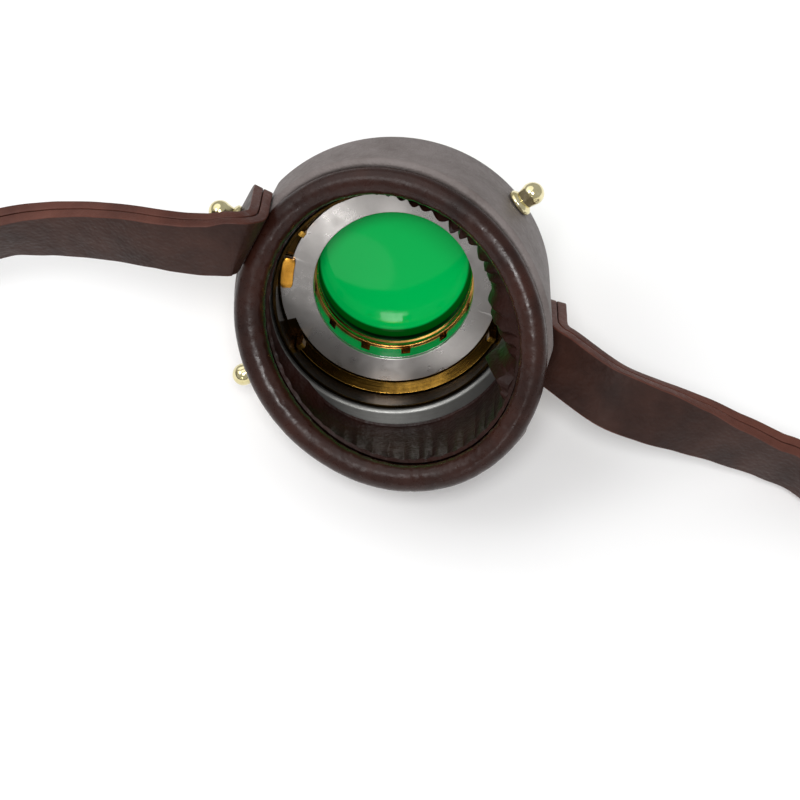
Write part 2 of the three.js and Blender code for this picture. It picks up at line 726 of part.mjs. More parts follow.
function strapKeeper() {
  const far = TIP_Y - LAYER / 2 - KEEPER_ROOM;
  const near = BACK_Y + STRAP_THICKNESS / 2 + KEEPER_ROOM;
  const half = STRAP_WIDTH / 2 + KEEPER_ROOM;
  const middle = (far + near) / 2;
  const room = new THREE.BoxGeometry(3 * KEEPER_WIDTH, near - far, 2 * half);
  const outside = new THREE.BoxGeometry(KEEPER_WIDTH, near - far + 2 * KEEPER_WALL, 2 * (half + KEEPER_WALL));
  return cutGeometry(outside, [room]).translate(KEEPER_X, middle, BACK_HEIGHT);
}

function strapRivet() {
  const [headRadius, headHeight] = RIVET_HEAD;
  const reach = STRAP_THICKNESS / 2 + GAP;
  const geometry = turned([
    [0, -reach - headHeight],
    [headRadius * 0.7, -reach - headHeight],
    [headRadius, -reach],
    [RIVET_SHANK, -reach],
    [RIVET_SHANK, reach],
    [headRadius, reach],
    [headRadius * 0.7, reach + headHeight],
    [0, reach + headHeight],
  ], 16);
  return geometry.translate(RIVET_X, BACK_Y, BACK_HEIGHT);
}

// Assembly
const monocle = new THREE.Group();
const cup = new THREE.Group();
cup.rotation.x = -TILT;
cup.position.z = AXIS_HEIGHT;
const strap = new THREE.Group();
monocle.add(cup, strap);

function add(group, name, geometry, material) {
  const mesh = new THREE.Mesh(geometry, material);
  mesh.name = name;
  group.add(mesh);
  return mesh;
}

add(cup, 'drum_shell', drumShell(), DRUM_LEATHER);
add(cup, 'rim_bead', rimBead(), LEATHER);
add(cup, 'cup_lining', cupLining(), LINING);
add(cup, 'housing_ring', housingRing(), ALUMINIUM);
add(cup, 'throat_ring', throatRing(), BRASS);
add(cup, 'band_lower', brassBand(LOWER_BAND), BRASS);
add(cup, 'band_upper', brassBand(UPPER_BAND), BRASS);
add(cup, 'front_flange', frontFlange(), BRASS);
for (let i = 0; i < SCREW_COUNT; i++) add(cup, `flange_screw_${i + 1}`, flangeScrew(i), POLISHED_BRASS);

studAngles.forEach((angle, i) => {
  const onStrap = i >= WALL_STUDS.length;
  const seat = (onStrap ? TAB_RADIUS + STRAP_THICKNESS / 2 : DRUM_RADIUS) + GAP;
  const nut = add(cup, `dome_nut_${i + 1}`, domeNut(), POLISHED_BRASS);
  nut.quaternion.setFromUnitVectors(new THREE.Vector3(0, 1, 0), radial(angle));
  nut.position.copy(onCup(seat, angle, STUD_Y));
  const end = seat + NUT_BORE_DEPTH - GAP;
  const shank = rod(STUD_SHANK, STUD_INNER, end, radial(angle), new THREE.Vector3(0, STUD_Y, 0));
  add(cup, `stud_screw_${i + 1}`, shank, STEEL);
});

add(cup, 'bayonet_plate', bayonetPlate(), STEEL);
add(cup, 'lug_leaf_1', lugLeaf(LUG_MIDDLE + Math.PI), POLISHED_BRASS);
add(cup, 'lug_leaf_2', lugLeaf(LUG_MIDDLE), POLISHED_BRASS);
add(cup, 'lens_barrel', lensBarrel(), BRASS);
add(cup, 'spacer_sleeve', spacerSleeve(), STEEL);
add(cup, 'retaining_ring', retainingRing(), BRASS);
add(cup, 'lens', lens(), GLASS);
add(cup, 'front_bezel', frontBezel(), BRASS);

const left = strapStations(LEFT_TAB, LEFT_ROUTE);
const right = strapStations(RIGHT_TAB, RIGHT_ROUTE);
const inside = -(LAYER + GAP) / 2;
const leftInner = strapLayer(left, 1, inside, 1);
const leftOuter = strapLayer(left, 1, -inside, DOUBLE_SHARE);
const rightInner = strapLayer(right, -1, inside, 1);
const rightOuter = strapLayer(right, -1, -inside, 1);
const leftTab = tabHole(LEFT_STUD);
const rightTab = tabHole(RIGHT_STUD);
add(strap, 'left_strap_inner', cutGeometry(leftInner, [leftTab, ...tipSlots()]), LEATHER);
add(strap, 'left_strap_outer', cutGeometry(leftOuter, [leftTab]), LEATHER);
add(strap, 'right_strap_inner', cutGeometry(rightInner, [rightTab, rivetHole()]), LEATHER);
add(strap, 'right_strap_outer', cutGeometry(rightOuter, [rightTab, rivetHole()]), LEATHER);
add(strap, 'strap_fold', strapFold(), LEATHER);
add(strap, 'strap_rivet', strapRivet(), POLISHED_BRASS);
add(strap, 'buckle_frame', buckleFrame(), BRASS);
add(strap, 'buckle_bar', rod(BAR_RADIUS, -BUCKLE_HALF_HEIGHT, BUCKLE_HALF_HEIGHT, upright, barPoint), STEEL);
add(strap, 'buckle_tongue', buckleTongue(), POLISHED_BRASS);
add(strap, 'strap_keeper', strapKeeper(), LEATHER);

// The origin is on the table, under the middle of the whole object's box
monocle.updateMatrixWorld(true);
const box = new THREE.Box3().setFromObject(monocle, true);
const middle = box.getCenter(new THREE.Vector3());
monocle.position.set(-middle.x, -middle.y, -box.min.z);

export default monocle;
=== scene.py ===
"""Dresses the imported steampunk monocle: leather, metals and glass in a pale studio."""

import json
import math

import bmesh
import bpy
import numpy as np
from mathutils import Matrix, Vector, noise


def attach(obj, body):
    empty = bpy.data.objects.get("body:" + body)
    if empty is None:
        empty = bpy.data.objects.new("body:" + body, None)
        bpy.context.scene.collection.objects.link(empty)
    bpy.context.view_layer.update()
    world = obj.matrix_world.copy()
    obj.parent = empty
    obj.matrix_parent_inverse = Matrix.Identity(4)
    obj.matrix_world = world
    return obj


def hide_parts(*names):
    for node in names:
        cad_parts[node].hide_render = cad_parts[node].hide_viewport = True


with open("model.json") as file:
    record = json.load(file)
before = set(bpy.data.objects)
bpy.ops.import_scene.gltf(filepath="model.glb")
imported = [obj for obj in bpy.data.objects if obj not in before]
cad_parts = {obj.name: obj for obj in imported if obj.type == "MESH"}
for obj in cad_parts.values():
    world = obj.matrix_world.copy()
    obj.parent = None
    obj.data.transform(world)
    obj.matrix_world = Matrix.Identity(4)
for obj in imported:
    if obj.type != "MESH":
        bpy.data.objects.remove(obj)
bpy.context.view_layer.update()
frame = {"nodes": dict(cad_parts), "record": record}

MM = 0.001
TURN = 2 * math.pi
COLUMNS = 240
SHARP = math.radians(40)
WELD = 1e-7
ASKEW = 0.3, 0.5, 0.8

# The cup's own frame, from the joint that turns the lens unit: +Y is the optical axis towards the front
JOINTS = {joint["name"]: joint for joint in frame["record"]["behaviour"]["joints"]}
PLATE = Vector(JOINTS["lens_twist"]["pos_m"])
FRONT = -Vector(JOINTS["lens_twist"]["axis"]).normalized()
RIGHT = Vector((1, 0, 0))
ACROSS = RIGHT.cross(FRONT)

# Sizes of the cup, in millimetres
GAP = 0.3
DRUM_RADIUS = 36
DRUM_WALL = 2.6
DRUM_FRONT = 2.5
WALL_STOP = 1.9
WALL_BEVEL = 1
FLANGE_BACK = DRUM_FRONT + 0.1
FLANGE_FRONT = FLANGE_BACK + 1.8
RIM_DEPTH = 24
RIM_SLANT = 14.3
RIM_DEEPEST = math.radians(-40)
ROLL_CENTRE = 31.65
ROLL_RADIUS = 3.05
ROLL_FULLER = 0.55
ROLL_SWELL = 0.12
SEAM_DEPTH = 0.2
SEAM_TURN = -0.25
SEAM_WIDTH = 0.1
HOUSING_BACK = -8.5
GATHERS = 56
HEM_RADIUS = 31.3
LINING_THICKNESS = 0.5

# Where the rim roll is fuller and where the lining is drawn in: middle and reach, in degrees
FULLER_AT = 190, 50
COVERED_AT = 190, 42
RUFFLE_AT = 38, 54
RUFFLE_PEAK_AT = 16, 13
LOBE_AT = -17, 7

# Sizes of the bayonet
PLATE_BORE = 18.5
PLATE_RADIUS = 24.2
PLATE_THICKNESS = 0.8
LUG_RADIUS = 26.2
LUGS = math.radians(2.5), math.radians(182.5)
LUG_HALF_SWEEP = math.radians(18)
LEAF_SWEEP = math.radians(17)
LEAF_BACK = -0.8
LEAF_CORNER = 0.5
BAND_BORE = 24.5
BAND_RADIUS = 26.3
BAND_FRONT = 0.8
BAND_BACKS = -0.3, -2.4
LOWER_BAND = math.radians(212), math.radians(336)
UPPER_BAND = math.radians(32), math.radians(147)
EAR_WIDTH = math.radians(3)
EAR_BACK = -4.3
EAR_STEP = 0.004
FINE_EDGE = 0.15

# Sizes of the lens unit
INSERT_RADIUS = 20.3
INSERT_EDGE = 0.12
SLEEVE_BACK = 1.1
SLEEVE_FRONT = 6
NOTCH_COUNT = 12
NOTCH_TURN = math.radians(9.5)
NOTCH_HALF = 1.1 / PLATE_BORE
NOTCH_DEPTH = 3.2
LENS_BACK = 11.7
LENS_FRONT = 15.7
LENS_RADIUS = 20.2
LENS_BULGE = 0.9
# The lens's painted shade: its centre, and the distances from it where the painted shade starts and where
# it is full
PAINTED_SHADE_CENTRE = -0.2, LENS_BACK, 0.9
PAINTED_SHADE_START = 17 * MM
PAINTED_SHADE_FULL = 18 * MM
NOSE_RADIUS = 24
NOSE_FRONT = DRUM_FRONT + (DRUM_RADIUS - NOSE_RADIUS) * math.sqrt(3)
NOSE_SEAT = NOSE_FRONT - 2
BARREL_FRONT = NOSE_SEAT - GAP
SKIRT_BACK = NOSE_FRONT - 11
FLUTE_COUNT = 24

# Sizes of the screws and nuts
SCREW_COUNT = 6
SCREW_CIRCLE = 30.2
NUT_BALL = 2.6
NUT_HEIGHT = 6.7
LEFT_STUD = math.radians(153.5)
RIGHT_STUD = math.radians(-15.5)
WALL_STUDS = math.radians(40), math.radians(211.5)
STUD_Y = -5
STUD_HOLE = 1.3

# Sizes of the strap
STRAP_WIDTH = 14.5
LAYER = 2.1
LAYER_SWELL = 0.05
STRAP_THICKNESS = 2 * LAYER + GAP
FLAT_RADIUS = DRUM_RADIUS - 1.4
TAB_RADIUS = FLAT_RADIUS + 0.45 + STRAP_THICKNESS / 2
TAB_CORNER = 2.5
TIP_NARROWEST = 0.6
BEND_STATIONS = 4
DOUBLE_STATIONS = 17.6
CROWDING = 1.3

# Sizes of the closure
BACK_Y = -156
BACK_HEIGHT = 9.6
BAR_X = 14
BAR_RADIUS = 1.1
FOLD_RADIUS = 3.3
FOLD_THICKNESS = 1.9
FOLD_TAIL = 6
FOLD_LEG = 1.25
FOLD_OPENING = math.radians(60)
FOLD_NOTCH_END = 2.9
FOLD_NOTCH_HALF = 1.7
BUCKLE_TILT = math.radians(27)
BUCKLE_LENGTH = 18
BUCKLE_HALF_HEIGHT = 9.3
BUCKLE_EYE = 2.6
BUCKLE_ROD = 2.2, 1.7
BUCKLE_CORNER = 2.2
RAIL_INSET = 1.25
TONGUE_TILT = math.radians(34)
TONGUE_LENGTH = 19.5
TONGUE_WIDTH = 2.2
TONGUE_THICKNESS = 1.4
TIP_Y = BACK_Y - FOLD_RADIUS - 0.35 - LAYER / 2
TIP_ROUTE_Y = BACK_Y - 5.9
TIP_END_X = 62
SLOT_COUNT = 3
SLOT_PITCH = 17
SLOT_LENGTH = 9.6
SLOT_WIDTH = 3.2
SLOT_START = BAR_X - 1.4
KEEPER_X = 37.5
KEEPER_WIDTH = 7
KEEPER_WALL = 1.3
KEEPER_CLEARANCE = 0.4
KEEPER_CORNER = 1.4
RIVET_X = 26
RIVET_HEAD = 0.8

# Each tab on the drum: its angle and end, the start, radius and turn of its bend, and the rise of its end
LEFT_TAB = LEFT_STUD, 0.3, -14.6, 6, math.radians(50), 1.3
RIGHT_TAB = RIGHT_STUD, 3.2, -9.2, 5.5, math.radians(60), 0
RISE_KEPT = 0.25

# How much of a tab's own width direction each station keeps, from the tab's end through the bend onwards
TWIST_KEPT = 1, 1, 1, 0.95, 0.85, 0.7, 0.35, 0.1

# Each free station of the strap: x, y, z of its middle and how many degrees its width leans from upright
LEFT_ROUTE = [
    (-40.5, -8.1, 57.4, 4),
    (-47, -7.7, 57.4, 7),
    (-53.6, -6.7, 57.5, 7),
    (-63.2, -3.5, 55, 3),
    (-72.5, -1.1, 52.4, 0),
    (-79.6, -0.3, 51, -3),
    (-88.7, -0.7, 49.6, -9),
    (-105, -4.2, 43.3, -7),
    (-121, -20, 31, 0),
    (-127, -52, 19.5, 0),
    (-119, -92, 10.5, 0),
    (-99, -128, 7.8, 0),
    (-64, -154, 8.6, 0),
    (-36, TIP_ROUTE_Y, BACK_HEIGHT, 0),
    (0, TIP_ROUTE_Y, BACK_HEIGHT, 0),
    (32, TIP_ROUTE_Y, BACK_HEIGHT, 0),
    (TIP_END_X, TIP_ROUTE_Y, BACK_HEIGHT, 0),
]
RIGHT_ROUTE = [
    (50, -25.6, 28.3, 34),
    (59.1, -27.3, 24.8, 25),
    (68.6, -28, 20.9, 14),
    (77.9, -29.3, 17.2, 4),
    (87.4, -31.1, 13.7, -2),
    (94.5, -33.1, 11.4, 0),
    (108, -46, 9, 0),
    (121, -66, 7.6, 0),
    (126, -95, 7.4, 0),
    (117, -125, 7.6, 0),
    (97, -147, 8.6, 0),
    (70, BACK_Y, BACK_HEIGHT, 0),
    (45, BACK_Y, BACK_HEIGHT, 0),
    (BAR_X + FOLD_TAIL + GAP, BACK_Y, BACK_HEIGHT, 0),
]

# Scales of the materials' patterns, in cells to the metre, and heights of their bumps, in metres
MOTTLE_SCALE = 90
TARNISH_SCALE = 260
SCRATCH_SCALE = 1800
SMEAR_SCALE = 300
CREASE_HEIGHT = 0.0004
GRAIN_HEIGHT = 0.00025
MARK_HEIGHT = 0.0001

# The camera, measured from the plate's centre, and the studio
CAMERA_PLACE = Vector((0, -341.73, 468.63)) * MM
CAMERA_AIM = Vector((0.0024, 0.5522, -0.8337))
CAMERA_TURN = Matrix.Rotation(math.radians(2.2), 3, "Z")
SENSOR = 36
FOCAL_PIXELS = 2511.4
PICTURE_PIXELS = 800
FLOOR_SIZE = 6
FLOOR_TONES = [(0.3, (0.93, 0.93, 0.93, 1)), (0.7, (0.96, 0.96, 0.96, 1))]
WORLD_STRENGTH = 0.45


def cup_points(points):
    """Cup millimetres to scene metres."""
    basis = np.array([RIGHT, FRONT, ACROSS])
    return np.array(PLATE) + MM * np.asarray(points, float) @ basis


def table_points(points):
    """Table millimetres, with the plate's centre over the origin, to scene metres."""
    return MM * np.asarray(points, float) + np.array((PLATE.x, PLATE.y, 0))


def cup_to_table(points):
    return (cup_points(points) - np.array((PLATE.x, PLATE.y, 0))) / MM


def around(radius, angle, y):
    return np.stack(np.broadcast_arrays(radius * np.cos(angle), y, radius * np.sin(angle)), axis=-1)


def rim_depth(angle):
    return RIM_DEPTH + RIM_SLANT * np.cos(angle - RIM_DEEPEST)


def between(angle, start, end):
    return (angle - start) % TURN < end - start


def bell(angle, middle, width):
    """One at a middle angle, fading to nothing some way to either side; all in degrees but the angle."""
    offset = (math.degrees(angle) - middle + 180) % 360 - 180
    return math.exp(-((offset / width) ** 2))


def unit(vectors):
    return vectors / np.linalg.norm(vectors, axis=-1, keepdims=True)


# Mesh building


def grid_faces(rows, cols, wrap_cols):
    """Quads of a grid of points and their UVs: u runs along a row, v from row to row; the rows close."""
    faces = []
    uvs = []
    for i in range(rows):
        below = (i + 1) % rows
        for j in range(cols if wrap_cols else cols - 1):
            beside = (j + 1) % cols
            faces.append((i * cols + j, i * cols + beside, below * cols + beside, below * cols + j))
            u0, u1 = j / cols, (j + 1) / cols
            v0, v1 = i / rows, (i + 1) / rows
            uvs.append(((u0, v0), (u1, v0), (u1, v1), (u0, v1)))
    return faces, uvs


def grid_object(name, grid, wrap_cols=True, row_slots=None):
    """A smooth object over a grid of scene points; open columns are closed by caps."""
    rows, cols, _ = grid.shape
    faces, uvs = grid_faces(rows, cols, wrap_cols)
    slots = np.repeat(row_slots if row_slots is not None else [0] * rows, len(faces) // rows).tolist()
    if not wrap_cols:
        for j in (0, cols - 1):
            faces.append(tuple(i * cols + j for i in range(rows)))
            uvs.append(tuple((j / cols, i / rows) for i in range(rows)))
            slots.append(max(slots))
    mesh = bpy.data.meshes.new(name)
    mesh.from_pydata(grid.reshape(-1, 3).tolist(), [], faces)
    mesh.polygons.foreach_set("material_index", slots)
    layer = mesh.uv_layers.new(name="UVMap")
    layer.data.foreach_set("uv", [value for face in uvs for corner in face for value in corner])
    tidy = bmesh.new()
    tidy.from_mesh(mesh)
    bmesh.ops.remove_doubles(tidy, verts=tidy.verts, dist=WELD)
    bmesh.ops.recalc_face_normals(tidy, faces=tidy.faces)
    tidy.to_mesh(mesh)
    tidy.free()
    mesh.shade_smooth()
    mesh.set_sharp_from_angle(angle=SHARP)
    piece = bpy.data.objects.new(name, mesh)
    bpy.context.collection.objects.link(piece)
    return piece


def rounded(profile, radius, steps=4):
    """A closed outline with each corner replaced by a small curve."""
    points = [np.array(point, float) for point in profile]
    smooth = []
    for i, corner in enumerate(points):
        before = points[i - 1] - corner
        after = points[(i + 1) % len(points)] - corner
        lengths = np.linalg.norm(before), np.linalg.norm(after)
        reach = min(radius, 0.45 * min(lengths))
        start = corner + before / lengths[0] * reach
        end = corner + after / lengths[1] * reach
        for t in np.linspace(0, 1, steps + 1):
            smooth.append((1 - t) ** 2 * start + 2 * t * (1 - t) * corner + t**2 * end)
    return np.array(smooth)


def even_angles(count=COLUMNS):
    return np.arange(count) / count * TURN


def angles_with_steps(edges, count=COLUMNS, sliver=0.002):
    """Even angles plus two close ones at each edge, where a shape steps."""
    extra = [edge + side * sliver for edge in edges for side in (-1, 1)]
    return np.unique(np.concatenate([even_angles(count), np.mod(extra, TURN)]))


def spun(name, angles, profile_at, wrap=True, row_slots=None):
    """A ring round the optical axis; profile_at gives the (radius, y) outline at an angle."""
    columns = []
    for angle in angles:
        outline = profile_at(angle)
        columns.append(around(outline[:, 0], angle, outline[:, 1]))
    return grid_object(name, cup_points(np.stack(columns, axis=1)), wrap, row_slots)


def lathed(name, profile, place, axis, to_scene, sides=48):
    """A small turned piece on an axis through a place; the outline is given as (radius, height)."""
    axis = unit(np.array(axis, float))
    first = unit(np.cross(axis, ASKEW))
    second = np.cross(axis, first)
    turn = even_angles(sides)
    rim = np.cos(turn)[:, None] * first + np.sin(turn)[:, None] * second
    grid = np.array(place) + profile[:, None, :1] * rim[None] + profile[:, None, 1:] * axis
    return grid_object(name, to_scene(grid))


def swept(name, path, across, sections, wrap=False, row_slots=None):
    """A bar along a path in table millimetres, with one (across, thickness) outline for each point."""
    along = np.roll(path, -1, axis=0) - np.roll(path, 1, axis=0) if wrap else np.gradient(path, axis=0)
    normal = unit(np.cross(along, across))
    grid = path[None] + sections[..., :1] * across[None] + sections[..., 1:] * normal[None]
    return grid_object(name, table_points(grid), wrap, row_slots)


def constant(section, count):
    """The same outline at every point of a path."""
    return np.repeat(section[:, None, :], count, axis=1)


def join(pieces):
    """Puts several new objects of one material into the first."""
    whole = bmesh.new()
    for piece in pieces:
        whole.from_mesh(piece.data)
    whole.to_mesh(pieces[0].data)
    whole.free()
    for piece in pieces[1:]:
        bpy.data.objects.remove(piece)


def carve(piece, cutters):
    """Cuts some objects out of a piece and marks its new sharp edges."""
    for cutter in cutters:
        modifier = piece.modifiers.new("carve", "BOOLEAN")
        modifier.object = cutter
        modifier.solver = "EXACT"
    bpy.context.view_layer.update()
    cut = bpy.data.meshes.new_from_object(piece.evaluated_get(bpy.context.evaluated_depsgraph_get()))
    cut.set_sharp_from_angle(angle=SHARP)
    piece.modifiers.clear()
    piece.data = cut
    for cutter in cutters:
        bpy.data.objects.remove(cutter)


def finish_piece(piece, materials, body, nodes, weighted=True):
    """Gives a piece its materials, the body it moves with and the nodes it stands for."""
    for material in materials:
        piece.data.materials.append(material)
    if weighted:
        modifier = piece.modifiers.new("weighted", "WEIGHTED_NORMAL")
        modifier.keep_sharp = True
    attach(piece, body)
    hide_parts(*nodes)


# Materials


def new_material(name):
    material = bpy.data.materials.new(name)
    material.use_nodes = True
    nodes = material.node_tree.nodes
    return material, nodes, material.node_tree.links, nodes["Principled BSDF"]


def linear(code):
    """Linear colour of a hexadecimal sRGB one."""
    parts = [int(code[i : i + 2], 16) / 255 for i in (0, 2, 4)]
    return [c / 12.92 if c <= 0.04045 else ((c + 0.055) / 1.055) ** 2.4 for c in parts] + [1]


def mapped(nodes, links, source, scale):
    """Texture coordinates of one kind, scaled."""
    coordinates = nodes.new("ShaderNodeTexCoord")
    mapping = nodes.new("ShaderNodeMapping")
    mapping.inputs["Scale"].default_value = scale
    links.new(coordinates.outputs[source], mapping.inputs["Vector"])
    return mapping.outputs["Vector"]


def noise_texture(nodes, links, vector, scale, detail=4, roughness=0.55):
    texture = nodes.new("ShaderNodeTexNoise")
    texture.inputs["Scale"].default_value = scale
    texture.inputs["Detail"].default_value = detail
    texture.inputs["Roughness"].default_value = roughness
    links.new(vector, texture.inputs["Vector"])
    return texture.outputs["Fac"]


def ramp(nodes, links, factor, stops):
    node = nodes.new("ShaderNodeValToRGB")
    while len(node.color_ramp.elements) < len(stops):
        node.color_ramp.elements.new(0.5)
    for element, (place, colour) in zip(node.color_ramp.elements, stops):
        element.position = place
        element.color = colour
    links.new(factor, node.inputs["Fac"])
    return node.outputs["Color"]


def spread(nodes, links, factor, low, high, start=0.3, end=0.7):
    """Maps the part of a texture between start and end to a range."""
    node = nodes.new("ShaderNodeMapRange")
    node.inputs["From Min"].default_value = start
    node.inputs["From Max"].default_value = end
    node.inputs["To Min"].default_value = low
    node.inputs["To Max"].default_value = high
    links.new(factor, node.inputs["Value"])
    return node.outputs["Result"]


def bump(nodes, links, height, strength, distance, below=None):
    node = nodes.new("ShaderNodeBump")
    node.inputs["Strength"].default_value = strength
    node.inputs["Distance"].default_value = distance
    links.new(height, node.inputs["Height"])
    if below is not None:
        links.new(below, node.inputs["Normal"])
    return node.outputs["Normal"]


def leather(name, dark, light, roughness, grain, grain_strength, crease_strength=0.25, sheen=0.45):
    """Grained leather: small cells with soft creases, mottled colour and uneven gloss."""
    material, nodes, links, shader = new_material(name)
    vector = mapped(nodes, links, "Object", (1, 1, 1))
    cells = nodes.new("ShaderNodeTexVoronoi")
    cells.feature = "SMOOTH_F1"
    cells.inputs["Scale"].default_value = 1 / grain
    cells.inputs["Randomness"].default_value = 1
    links.new(vector, cells.inputs["Vector"])
    creases = noise_texture(nodes, links, vector, 0.35 / grain, detail=5)
    mottle = noise_texture(nodes, links, vector, MOTTLE_SCALE, detail=6)
    tone = ramp(nodes, links, mottle, [(0.3, linear(dark)), (0.72, linear(light))])
    links.new(tone, shader.inputs["Base Color"])
    links.new(spread(nodes, links, creases, roughness - 0.08, roughness + 0.1), shader.inputs["Roughness"])
    coarse = bump(nodes, links, creases, crease_strength, CREASE_HEIGHT)
    fine = bump(nodes, links, cells.outputs["Distance"], grain_strength, GRAIN_HEIGHT, coarse)
    links.new(fine, shader.inputs["Normal"])
    shader.inputs["Specular IOR Level"].default_value = sheen
    return material


def metal(name, dark, light, roughness, lines=0.0, stretch=0.75):
    """Metal with patches of tarnish; lines is the strength of turning marks that stretch its highlights."""
    material, nodes, links, shader = new_material(name)
    vector = mapped(nodes, links, "Object", (1, 1, 1))
    patches = noise_texture(nodes, links, vector, TARNISH_SCALE, detail=7, roughness=0.65)
    tone = ramp(nodes, links, patches, [(0.3, linear(dark)), (0.62, linear(light))])
    links.new(tone, shader.inputs["Base Color"])
    links.new(spread(nodes, links, patches, roughness + 0.08, roughness - 0.04), shader.inputs["Roughness"])
    shader.inputs["Metallic"].default_value = 1
    if lines:
        turning = mapped(nodes, links, "UV", (4, 240, 1))
        marks = noise_texture(nodes, links, turning, 1, detail=3)
        links.new(bump(nodes, links, marks, lines, MARK_HEIGHT), shader.inputs["Normal"])
        tangent = nodes.new("ShaderNodeTangent")
        tangent.direction_type = "UV_MAP"
        links.new(tangent.outputs["Tangent"], shader.inputs["Tangent"])
        shader.inputs["Anisotropic"].default_value = stretch
        shader.inputs["Anisotropic Rotation"].default_value = 0.25
    else:
        scratches = noise_texture(nodes, links, vector, SCRATCH_SCALE, detail=3)
        links.new(bump(nodes, links, scratches, 0.05, MARK_HEIGHT), shader.inputs["Normal"])
    return material


def green_glass(name):
    """Bright green glass, with painted shade along its lower edge that stands in for the dark inside of the
    barrel seen through it.
    """
    material, nodes, links, shader = new_material(name)
    vector = mapped(nodes, links, "Object", (1, 1, 1))
    reach = nodes.new("ShaderNodeVectorMath")
    reach.operation = "DISTANCE"
    reach.inputs[1].default_value = cup_points(PAINTED_SHADE_CENTRE)
    links.new(vector, reach.inputs[0])
    # Painted shade: darker green towards the lens's lower edge, standing in for the shaded barrel seen
    # through the glass
    edge = spread(nodes, links, reach.outputs["Value"], 0, 1, PAINTED_SHADE_START, PAINTED_SHADE_FULL)
    tint = ramp(nodes, links, edge, [(0.2, linear("00c258")), (0.7, linear("00500f"))])
    links.new(tint, shader.inputs["Base Color"])
    smears = noise_texture(nodes, links, vector, SMEAR_SCALE, detail=4)
    links.new(spread(nodes, links, smears, 0.04, 0.09), shader.inputs["Roughness"])
    shader.inputs["Specular IOR Level"].default_value = 0.2
    return material


# The drum's grey-brown colour is partly the leather's own brown and partly painted sheen, the grey of light
# glancing off it
DRUM_LEATHER_WITH_PAINTED_SHEEN = leather("drum_leather", "605754", "7a7270", 0.6, 0.0005, 0.5)
BEAD_LEATHER = leather(
    "bead_leather", "1c0c08", "331a13", 0.3, 0.0005, 0.1, crease_strength=0.1, sheen=0.28
)
LINING_LEATHER = leather("lining_leather", "170805", "2a130d", 0.45, 0.0008, 0.45, sheen=0.15)
STRAP_FACE = leather("strap_leather", "23120d", "3c251e", 0.45, 0.0009, 0.4, sheen=0.22)
STRAP_EDGE = leather("strap_edge", "3c1d15", "5e362b", 0.5, 0.0004, 0.3, sheen=0.25)
BRASS = metal("brass", "8a6428", "c89c56", 0.13, lines=0.2)
POLISHED_BRASS = metal("polished_brass", "cdbf86", "efe6bc", 0.12)
GOLD_LEAF = metal("gold_leaf", "96631c", "c8923c", 0.2)
# A darker copy of the brass for the bands: painted shade standing in for the dark surroundings they reflect
BAND_BRASS_PAINTED_DARK = metal("band_brass_painted_dark", "5c4016", "a27c36", 0.12, lines=0.2)
STEEL = metal("steel", "a6a29f", "aeaaa7", 0.28, lines=0.04, stretch=0.9)
POLISHED_STEEL = metal("polished_steel", "9a9a9a", "b4b4b4", 0.14)
ALUMINIUM = metal("housing_aluminium", "80807d", "92928f", 0.35, lines=0.25)
DARK_METAL = metal("dark_metal", "0c0c08", "1c1a12", 0.12)
DARK_BRASS = metal("dark_brass", "150e05", "30220d", 0.2, lines=0.2)
GREEN_GLASS = green_glass("green_glass")


# The cup's leather


def flat_reach(angle, tab):
    """Radius of the flat under a strap tab, far outside the drum away from it."""
    return FLAT_RADIUS / max(math.cos(angle - tab), 0.5)


def drum_outline(angle):
    """The drum's wall, flat under the strap tabs and bevelled where it ends under the rim roll."""
    inner = DRUM_RADIUS - DRUM_WALL
    outer = min(DRUM_RADIUS, flat_reach(angle, LEFT_STUD), flat_reach(angle, RIGHT_STUD))
    back = WALL_STOP - rim_depth(angle)
    front_edge = [(inner, DRUM_FRONT), (outer, DRUM_FRONT)]
    back_edge = [(outer, back + WALL_BEVEL), (outer - 1.2, back), (inner, back + WALL_BEVEL)]
    return rounded(front_edge + back_edge, 0.6)


drum = spun("drum_wall", even_angles(), drum_outline)
finish_piece(drum, [DRUM_LEATHER_WITH_PAINTED_SHEEN], "eye_cup", ["drum_shell"], weighted=False)


def bead_column(angle, turns):
    """One section of the padded rim: a creased roll, flattened against the housing and the left tab."""
    place = Vector((3 * math.cos(angle), 3 * math.sin(angle), 0))
    swell = ROLL_SWELL * noise.noise(place * 1.3)
    fuller = ROLL_FULLER * bell(angle, *FULLER_AT)
    points = []
    for turn in turns:
        across = Vector((11 * math.cos(angle), 11 * math.sin(angle), 0.9 * math.cos(turn)))
        crease = abs(noise.noise(across * 1.5 + Vector((0, 0, 0.7 * math.sin(turn)))))
        inner = 0.5 - 0.5 * math.cos(turn)
        from_seam = (turn - SEAM_TURN + math.pi) % TURN - math.pi
        seam = SEAM_DEPTH * math.exp(-((from_seam / SEAM_WIDTH) ** 2))
        radius = ROLL_RADIUS + fuller + swell - seam - (0.05 + 0.2 * inner) * (0.35 - crease)
        reach = min(ROLL_CENTRE + fuller + radius * math.cos(turn), flat_reach(angle, LEFT_STUD))
        depth = rim_depth(angle) + radius * math.sin(turn)
        if reach < DRUM_RADIUS - DRUM_WALL:
            depth = max(depth, 0.4 - HOUSING_BACK)
        points.append((reach, -depth))
    return np.array(points)


turns = even_angles(72)
bead = spun("rim_roll", even_angles(400), lambda angle: bead_column(angle, turns))
finish_piece(bead, [BEAD_LEATHER], "eye_cup", ["rim_bead"], weighted=False)


